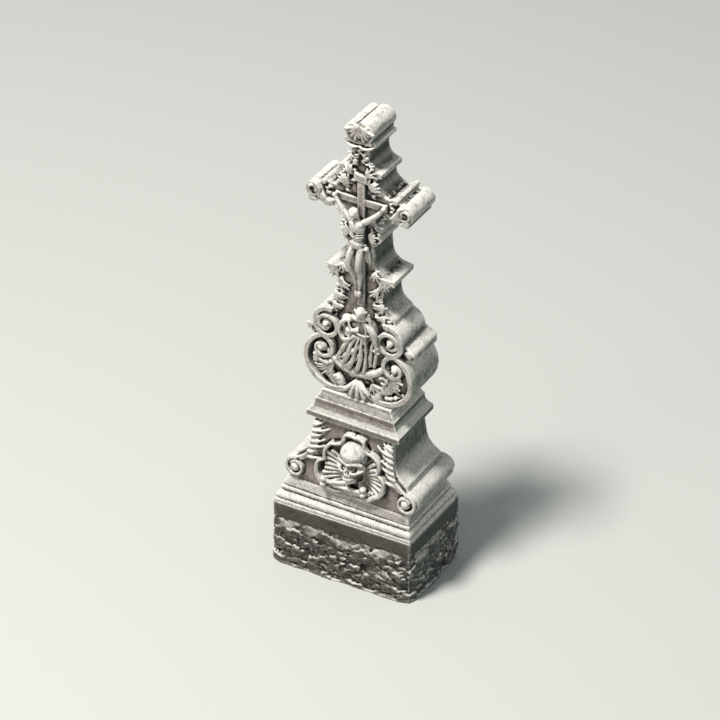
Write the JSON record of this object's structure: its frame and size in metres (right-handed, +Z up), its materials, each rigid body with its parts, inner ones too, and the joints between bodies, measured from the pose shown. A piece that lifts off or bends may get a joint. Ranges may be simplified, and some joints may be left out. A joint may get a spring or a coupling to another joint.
{
  "type": "headstone",
  "caption": "Baroque sandstone headstone: rock-faced plinth, pedestal with skull cartouche and side volutes, moulded cornice, scrollwork cross with crucifix and kneeling figure.",
  "frame": {"origin": "on the ground under the middle of the plinth", "axes": "+Z up, -Y towards the viewer of the carved front, +X to that viewer's right"},
  "size_m": [0.8039, 0.5302, 2.5301],
  "materials": {
    "rock_faced_sandstone": "rock-faced, weathered",
    "pedestal_sandstone": "carved, weathered",
    "cornice_sandstone": "dressed, weathered",
    "stele_sandstone": "carved, weathered"
  },
  "bodies": {
    "root": {"rusticated_plinth": "rock_faced_sandstone", "pedestal": "pedestal_sandstone", "cornice": "cornice_sandstone", "cross_stele": "stele_sandstone"}
  },
  "joints": []
}
